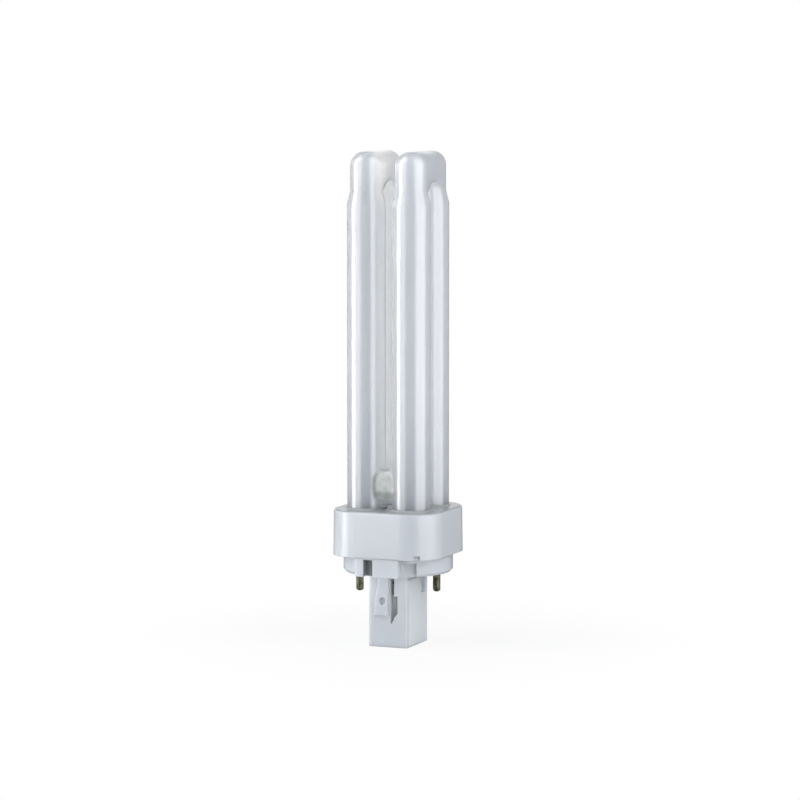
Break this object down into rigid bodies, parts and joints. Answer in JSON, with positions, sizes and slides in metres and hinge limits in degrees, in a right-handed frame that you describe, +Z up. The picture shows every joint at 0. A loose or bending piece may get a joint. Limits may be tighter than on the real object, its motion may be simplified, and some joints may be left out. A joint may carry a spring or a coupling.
{
  "type": "two-pin plug-in compact fluorescent lamp with U-bent tubes",
  "caption": "Plug-in fluorescent bulb: U-bent coated glass tubes side by side on a rounded square base with a starter post and contact pins.",
  "frame": {"origin": "middle of the free end of the starter post, on the lamp's axis", "axes": "+Z up the lamp's axis towards the bends; each U-bent tube lies in a plane along Y; the contact pins stand left and right of the post along X; the latch faces of the post look along -Y and +Y"},
  "size_m": [0.0356, 0.0356, 0.153],
  "materials": {
    "coated_glass": "gloss",
    "white_moulding": "satin",
    "pin_brass": "satin",
    "clear_glass": "gloss",
    "capacitor_coat": "gloss",
    "lead_wire": "satin"
  },
  "bodies": {
    "root": {"discharge_tube": "coated_glass", "upper_cap": "white_moulding", "lower_base": "white_moulding", "contact_pin_left": "pin_brass", "contact_pin_right": "pin_brass", "starter_glow_bottle": "clear_glass", "starter_capacitor": "capacitor_coat", "pin_lead_left": "lead_wire", "pin_lead_right": "lead_wire", "starter_lead_left": "lead_wire", "starter_lead_right": "lead_wire"}
  },
  "joints": []
}
